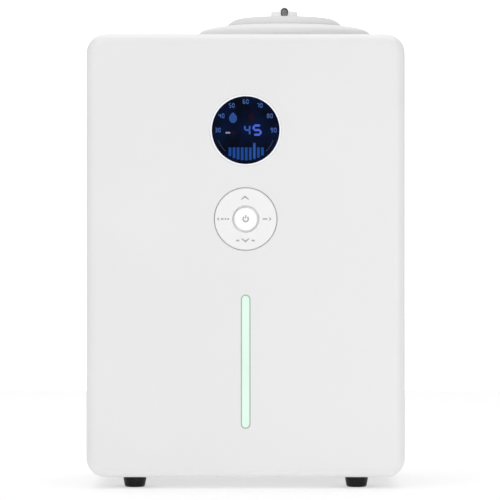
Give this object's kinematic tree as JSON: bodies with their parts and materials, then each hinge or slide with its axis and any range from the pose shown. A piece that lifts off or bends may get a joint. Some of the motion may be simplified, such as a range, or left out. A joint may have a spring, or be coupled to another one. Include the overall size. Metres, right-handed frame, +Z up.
{
  "type": "cool mist humidifier",
  "caption": "Upright box humidifier with a round display, rocking control pad, level window, lift-out tank and a raised mist cap with a turning nozzle.",
  "frame": {"origin": "on the surface the feet stand on, under the middle of the case", "axes": "+X to the right seen from the front, +Y to the rear, +Z up"},
  "size_m": [0.24, 0.17, 0.3682],
  "materials": {
    "white_case": "white satin moulded plastic",
    "white_key": "white smooth moulded plastic",
    "inner_plastic": "light grey moulded plastic",
    "clear_tank": "smoke-clear tank plastic",
    "dark_lens": "high gloss, blue-black",
    "level_glow": "milky light pipe, lit pale mint",
    "black_rubber": "matt black",
    "grey_rubber": "matt grey silicone",
    "board_green": "solder mask green",
    "black_plastic": "fine black moulding",
    "steel": "plain",
    "aluminium": "extruded",
    "filter_foam": "open-cell foam",
    "wire_jacket": "smooth wire jacket"
  },
  "bodies": {
    "housing": {"front_cover": "white_case", "rear_housing": "white_case", "base_plate": "white_case", "foot_front_left": "black_rubber", "foot_front_right": "black_rubber", "foot_rear_left": "black_rubber", "foot_rear_right": "black_rubber", "base_screw_1": "steel", "base_screw_2": "steel", "base_screw_3": "steel", "base_screw_4": "steel", "display_lens": "dark_lens", "display_gasket": "black_rubber", "lcd_module": "black_plastic", "control_board": "board_green", "key_switch_up": "black_plastic", "key_switch_down": "black_plastic", "key_switch_left": "black_plastic", "key_switch_right": "black_plastic", "key_switch_power": "black_plastic", "level_lens": "level_glow", "level_light_board": "board_green", "water_basin": "inner_plastic", "transducer_disc": "steel", "transducer_seal": "black_rubber", "transducer_clamp": "steel", "driver_board": "board_green", "driver_heatsink": "aluminium", "power_inlet": "black_plastic", "fan_housing": "black_plastic", "fan_motor": "steel", "air_duct": "black_rubber", "float_clip": "inner_plastic", "display_cable": "wire_jacket", "power_lead": "wire_jacket", "fan_lead": "wire_jacket", "transducer_lead": "wire_jacket"},
    "filter_door": {"rear_grille": "white_case", "intake_filter": "filter_foam"},
    "impeller": {"fan_impeller": "white_key"},
    "float": {"float": "inner_plastic"},
    "power_key": {"power_button": "white_key"},
    "ring_pivot": {"ring_carrier": "black_plastic"},
    "ring_key": {"control_ring": "white_key"},
    "tank": {"water_tank": "clear_tank", "mist_tube": "clear_tank", "tank_handle": "inner_plastic", "valve_cap": "white_key", "valve_spring": "steel"},
    "valve": {"valve_plunger": "inner_plastic", "valve_foot": "inner_plastic", "valve_seal": "grey_rubber"},
    "lid": {"top_lid": "white_case", "lid_seal": "grey_rubber"},
    "cap": {"mist_cap": "white_case", "cap_seal": "grey_rubber", "cap_baffle": "inner_plastic"},
    "nozzle_head": {"nozzle": "white_key", "nozzle_liner": "black_rubber"}
  },
  "joints": [
    {"name": "tank_lift", "type": "slide", "parent": "housing", "child": "tank", "axis": [0, 0, 1], "range_m": [0, 0.3]},
    {"name": "valve_close", "type": "slide", "parent": "tank", "child": "valve", "axis": [0, 0, -1], "range_m": [0, 0.0041], "deforming": ["valve_spring"]},
    {"name": "lid_lift", "type": "slide", "parent": "tank", "child": "lid", "axis": [0, 0, 1], "range_m": [0, 0.06]},
    {"name": "cap_lift", "type": "slide", "parent": "lid", "child": "cap", "axis": [0, 0, 1], "range_m": [0, 0.05]},
    {"name": "nozzle_turn", "type": "hinge", "parent": "cap", "child": "nozzle_head", "pos_m": [0.03, 0.0075, 0.3602], "axis": [0, 0, 1], "continuous": true},
    {"name": "filter_pull", "type": "slide", "parent": "housing", "child": "filter_door", "axis": [0, 1, 0], "range_m": [0, 0.02]},
    {"name": "fan_spin", "type": "hinge", "parent": "housing", "child": "impeller", "pos_m": [0.088, 0.07, 0.0506], "axis": [0, 1, 0], "continuous": true},
    {"name": "float_rise", "type": "slide", "parent": "housing", "child": "float", "axis": [0, 0, 1], "range_m": [0, 0.01]},
    {"name": "power_press", "type": "slide", "parent": "housing", "child": "power_key", "axis": [0, 1, 0], "range_m": [0, 0.0008], "stiffness_N_per_m": 1500},
    {"name": "ring_rock_vertical", "type": "hinge", "parent": "housing", "child": "ring_pivot", "pos_m": [0, -0.0804, 0.2026], "axis": [1, 0, 0], "range_deg": [-2, 2], "stiffness_Nm_per_rad": 1.5},
    {"name": "ring_rock_sideways", "type": "hinge", "parent": "ring_pivot", "child": "ring_key", "pos_m": [0, -0.0804, 0.2026], "axis": [0, 0, 1], "range_deg": [-2, 2], "stiffness_Nm_per_rad": 1.5}
  ],
  "couplings": [
    {"joint": "valve_close", "follows": "tank_lift", "ratio": 0.0136}
  ]
}
